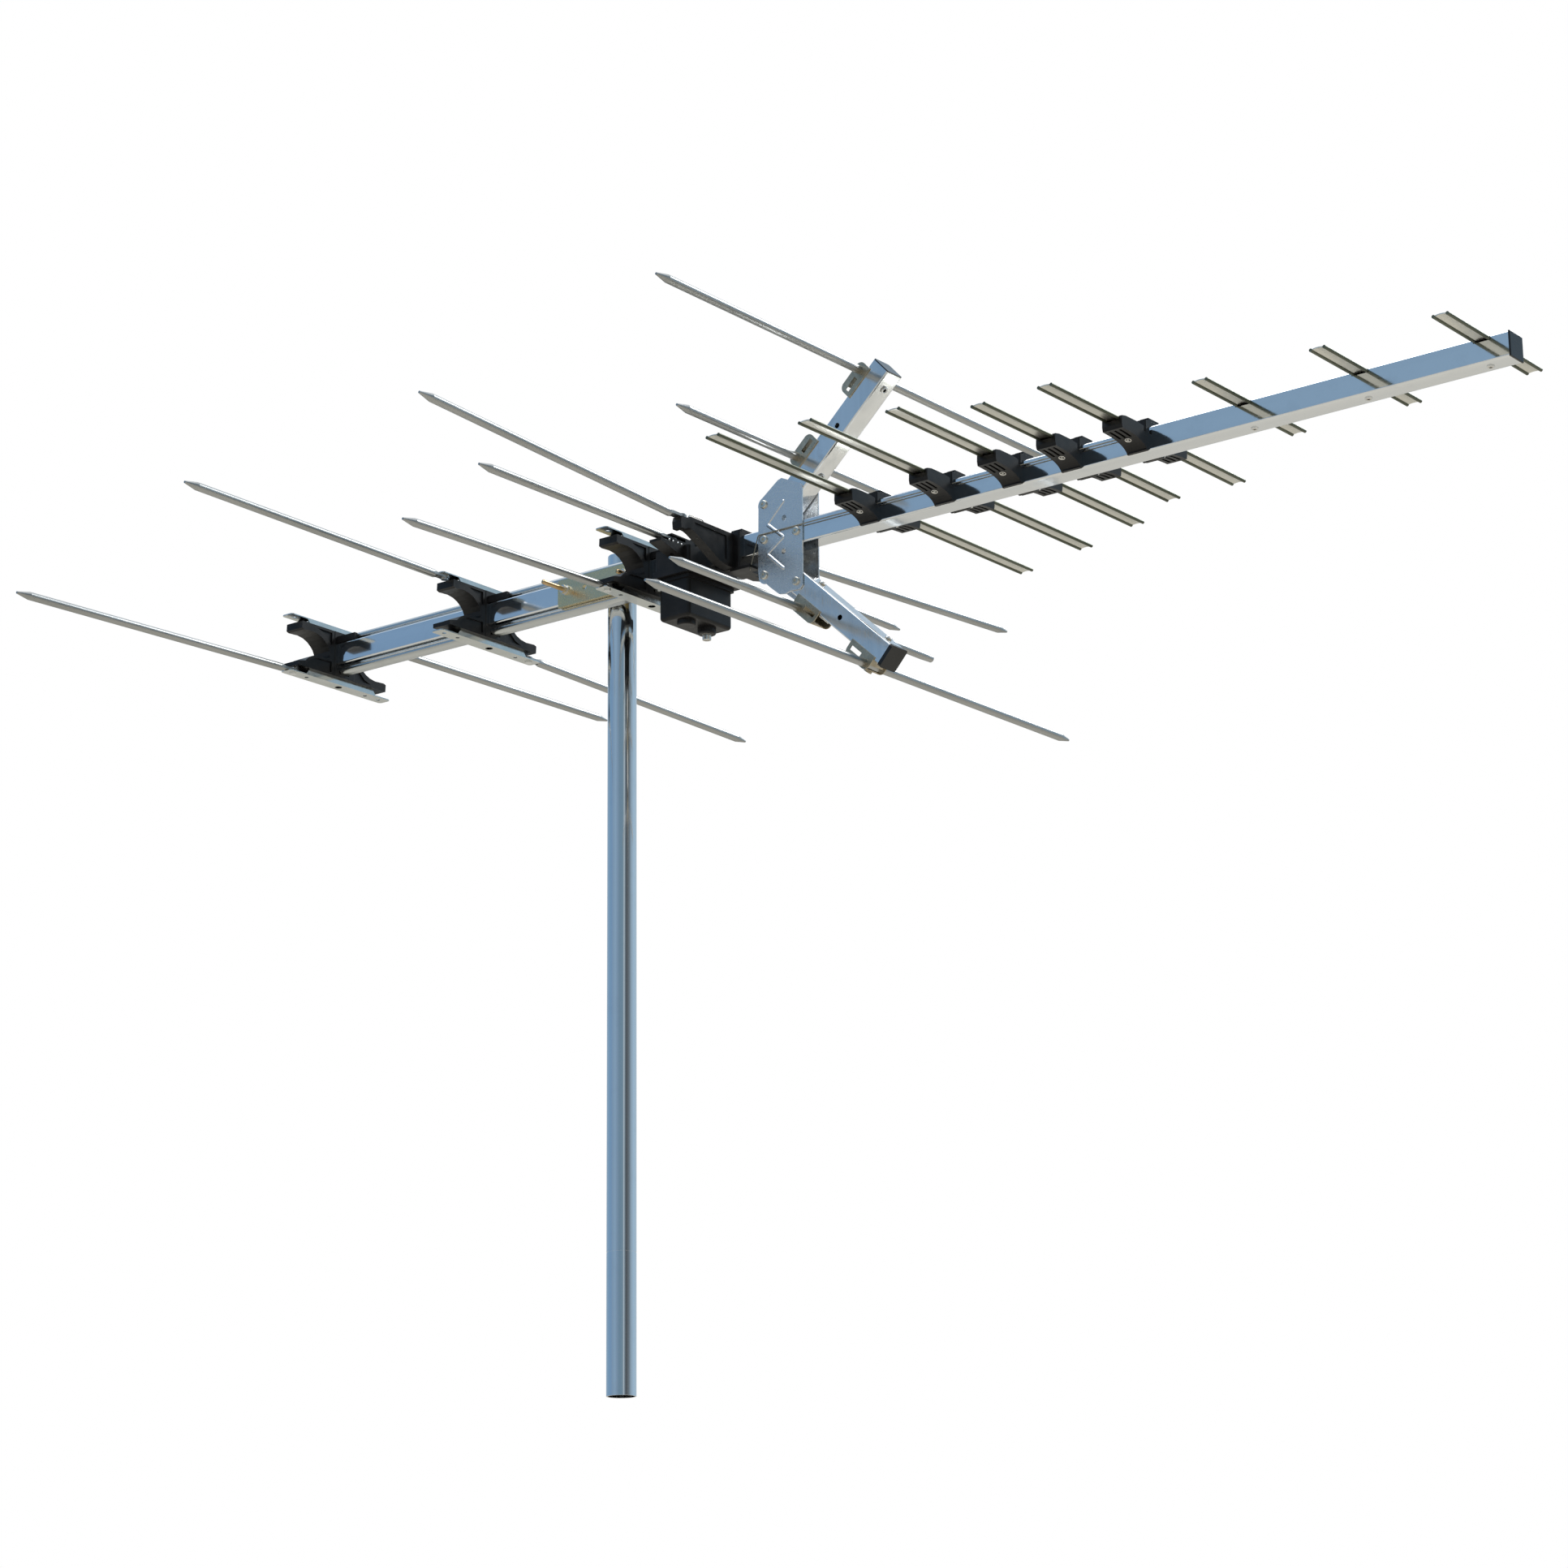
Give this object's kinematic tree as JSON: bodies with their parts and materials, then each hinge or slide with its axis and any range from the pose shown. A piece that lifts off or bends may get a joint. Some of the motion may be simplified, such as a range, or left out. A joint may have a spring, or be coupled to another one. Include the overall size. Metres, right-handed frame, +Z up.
{
  "type": "yagi antenna",
  "caption": "Combined-band rooftop yagi antenna: square boom with folding rod dipoles, channel directors, hinged corner reflector arms and a round mast with a clamp.",
  "frame": {"origin": "centre of the mast tube at its lower end", "axes": "+X along the boom towards the front director, +Y to the left seen from behind, +Z up along the mast"},
  "size_m": [1.544, 0.999, 1.0499],
  "materials": {
    "mast_aluminium": "polished",
    "bright_aluminium": "polished",
    "rail_aluminium": "satin",
    "rod_aluminium": "satin",
    "element_aluminium": "satin",
    "rivet_aluminium": "polished",
    "strip_zinc": "bright zinc plated",
    "clip_steel": "satin",
    "bracket_zinc": "bright zinc plated",
    "bolt_zinc": "bright zinc plated",
    "yellow_zinc": "yellow zinc plated",
    "black_plastic": "smooth",
    "cap_plastic": "smooth",
    "nickel": "nickel plated",
    "board": "bare board",
    "copper_wire": "bare"
  },
  "bodies": {
    "mast": {"mast_tube": "mast_aluminium"},
    "antenna": {"boom_front_cap": "cap_plastic", "boom_rivets": "rivet_aluminium", "boom_tube": "bright_aluminium", "bracket_bolts": "bolt_zinc", "bracket_plate_left": "bracket_zinc", "bracket_plate_right": "bracket_zinc", "clamp_jaw": "yellow_zinc", "clamp_nuts": "yellow_zinc", "clamp_plate": "yellow_zinc", "cover_pin": "rivet_aluminium", "dipole_insulator": "black_plastic", "director_1": "element_aluminium", "director_2": "element_aluminium", "director_3": "element_aluminium", "junction_base": "black_plastic", "lower_rail": "rail_aluminium", "phasing_wire": "copper_wire", "rod_rivets": "rivet_aluminium", "transformer_board": "board", "u_bolt": "yellow_zinc", "uhf_element_1": "element_aluminium", "uhf_element_2": "element_aluminium", "uhf_element_3": "element_aluminium", "uhf_element_4": "element_aluminium", "uhf_element_5": "element_aluminium", "uhf_insulator_1": "black_plastic", "uhf_insulator_2": "black_plastic", "uhf_insulator_3": "black_plastic", "uhf_insulator_4": "black_plastic", "uhf_insulator_5": "black_plastic", "upper_rail": "rail_aluminium", "v1_insulator": "black_plastic", "v1_strips": "strip_zinc", "v2_insulator": "black_plastic", "v2_strips": "strip_zinc", "v3_insulator": "black_plastic", "v3_strips": "strip_zinc"},
    "cover": {"junction_cover": "black_plastic", "coax_socket": "nickel"},
    "upper_reflector": {"upper_arm": "bright_aluminium", "upper_arm_cap": "cap_plastic", "upper_rod_clips": "clip_steel", "upper_inner_rod": "rod_aluminium", "upper_outer_rod": "rod_aluminium"},
    "lower_reflector": {"lower_arm": "bright_aluminium", "lower_arm_cap": "cap_plastic", "lower_rod_clips": "clip_steel", "lower_inner_rod": "rod_aluminium", "lower_outer_rod": "rod_aluminium"},
    "v1_right": {"v1_rod_right": "rod_aluminium"},
    "v1_left": {"v1_rod_left": "rod_aluminium"},
    "v2_right": {"v2_rod_right": "rod_aluminium"},
    "v2_left": {"v2_rod_left": "rod_aluminium"},
    "v3_right": {"v3_rod_right": "rod_aluminium"},
    "v3_left": {"v3_rod_left": "rod_aluminium"},
    "v4_right": {"v4_rod_right": "rod_aluminium"},
    "v4_left": {"v4_rod_left": "rod_aluminium"},
    "v5_right": {"v5_rod_right": "rod_aluminium"},
    "v5_left": {"v5_rod_left": "rod_aluminium"}
  },
  "joints": [
    {"name": "boom_swivel", "type": "hinge", "parent": "mast", "child": "antenna", "pos_m": [0, 0, 0.88], "axis": [0, 0, 1], "continuous": true},
    {"name": "v1_right_fold", "type": "hinge", "parent": "antenna", "child": "v1_right", "pos_m": [-0.408, -0.101, 0.849], "axis": [0, 0, -1], "range_deg": [0, 75]},
    {"name": "v1_left_fold", "type": "hinge", "parent": "antenna", "child": "v1_left", "pos_m": [-0.408, 0.039, 0.911], "axis": [0, 0, 1], "range_deg": [0, 75]},
    {"name": "v2_right_fold", "type": "hinge", "parent": "antenna", "child": "v2_right", "pos_m": [-0.173, -0.101, 0.911], "axis": [0, 0, -1], "range_deg": [0, 75]},
    {"name": "v2_left_fold", "type": "hinge", "parent": "antenna", "child": "v2_left", "pos_m": [-0.173, 0.039, 0.849], "axis": [0, 0, 1], "range_deg": [0, 75]},
    {"name": "v3_right_fold", "type": "hinge", "parent": "antenna", "child": "v3_right", "pos_m": [0.065, -0.101, 0.849], "axis": [0, 0, -1], "range_deg": [0, 75]},
    {"name": "v3_left_fold", "type": "hinge", "parent": "antenna", "child": "v3_left", "pos_m": [0.065, 0.039, 0.911], "axis": [0, 0, 1], "range_deg": [0, 75]},
    {"name": "v4_right_fold", "type": "hinge", "parent": "antenna", "child": "v4_right", "pos_m": [0.14, -0.083, 0.891], "axis": [0, 0, -1], "range_deg": [0, 45]},
    {"name": "v4_left_fold", "type": "hinge", "parent": "antenna", "child": "v4_left", "pos_m": [0.14, 0.021, 0.891], "axis": [0, 0, 1], "range_deg": [0, 45]},
    {"name": "v5_right_fold", "type": "hinge", "parent": "antenna", "child": "v5_right", "pos_m": [0.191, -0.129, 0.893], "axis": [0, 0, 1], "range_deg": [0, 35]},
    {"name": "v5_left_fold", "type": "hinge", "parent": "antenna", "child": "v5_left", "pos_m": [0.191, 0.067, 0.893], "axis": [0, 0, -1], "range_deg": [0, 35]},
    {"name": "upper_arm_fold", "type": "hinge", "parent": "antenna", "child": "upper_reflector", "pos_m": [0.2354, -0.031, 0.9195], "axis": [0, -1, 0], "range_deg": [0, 90]},
    {"name": "lower_arm_fold", "type": "hinge", "parent": "antenna", "child": "lower_reflector", "pos_m": [0.2354, -0.031, 0.8405], "axis": [0, 1, 0], "range_deg": [0, 90]},
    {"name": "cover_open", "type": "hinge", "parent": "antenna", "child": "cover", "pos_m": [0.1005, -0.031, 0.8585], "axis": [0, 1, 0], "range_deg": [0, 60]}
  ]
}
